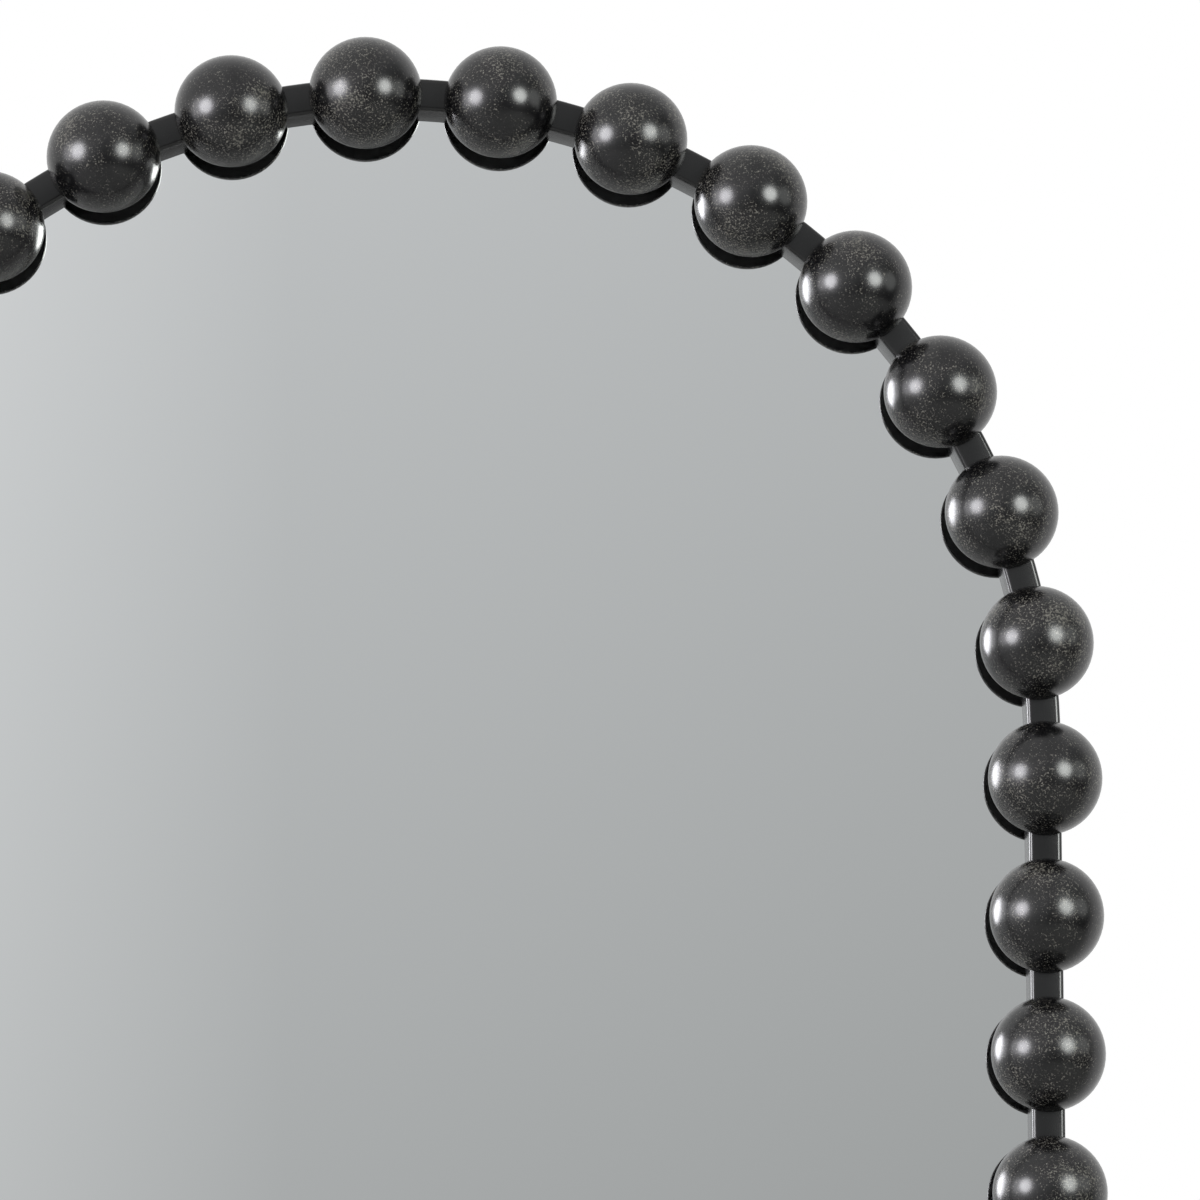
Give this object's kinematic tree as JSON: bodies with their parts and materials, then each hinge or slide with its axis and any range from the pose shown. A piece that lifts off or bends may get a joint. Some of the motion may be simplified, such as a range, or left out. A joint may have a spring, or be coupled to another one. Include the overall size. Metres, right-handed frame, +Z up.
{
  "type": "bobbin mirror",
  "caption": "Tall arch-top wall mirror with square foot corners, edged all round by a narrow frame of spaced black half-ball bobbins.",
  "frame": {"origin": "on the wall, midway between the two wall hooks, at the height where they carry the hanger rings", "axes": "+Z up, +Y from the glass back into the wall, +X to the right of someone facing the mirror"},
  "size_m": [0.621, 0.058, 1.4998],
  "materials": {
    "frame_lacquer": "black satin lacquer on wood",
    "bobbin_lacquer": "black satin lacquer on turned wood, finely flecked",
    "mirror_glass": "silvered float glass",
    "foam_tape": "closed-cell foam tape",
    "fibreboard": "fibreboard with a dark painted back",
    "beech": "bare beech",
    "yellow_zinc_screw": "yellow zinc plate",
    "felt": "pressed felt",
    "zinc_steel": "bright zinc plate"
  },
  "bodies": {
    "mirror": {"arch_rail_left": "frame_lacquer", "arch_rail_right": "frame_lacquer", "stile_left": "frame_lacquer", "stile_right": "frame_lacquer", "bottom_rail": "frame_lacquer", "bobbins_arch_left": "bobbin_lacquer", "bobbins_arch_right": "bobbin_lacquer", "bobbins_left": "bobbin_lacquer", "bobbins_right": "bobbin_lacquer", "bobbins_foot": "bobbin_lacquer", "loose_tenons": "beech", "mirror_glass": "mirror_glass", "foam_strips": "foam_tape", "back_panel": "fibreboard", "panel_screws": "yellow_zinc_screw", "wall_pads": "felt", "hanger_strap_left": "zinc_steel", "hanger_strap_right": "zinc_steel", "hanger_screws": "zinc_steel"},
    "ring_left": {"hanger_ring_left": "zinc_steel"},
    "ring_right": {"hanger_ring_right": "zinc_steel"}
  },
  "joints": [
    {"name": "ring_left_swing", "type": "hinge", "parent": "mirror", "child": "ring_left", "pos_m": [-0.2, -0.0036, -0.015], "axis": [1, 0, 0], "range_deg": [0, 176]},
    {"name": "ring_right_swing", "type": "hinge", "parent": "mirror", "child": "ring_right", "pos_m": [0.2, -0.0036, -0.015], "axis": [1, 0, 0], "range_deg": [0, 176]}
  ]
}
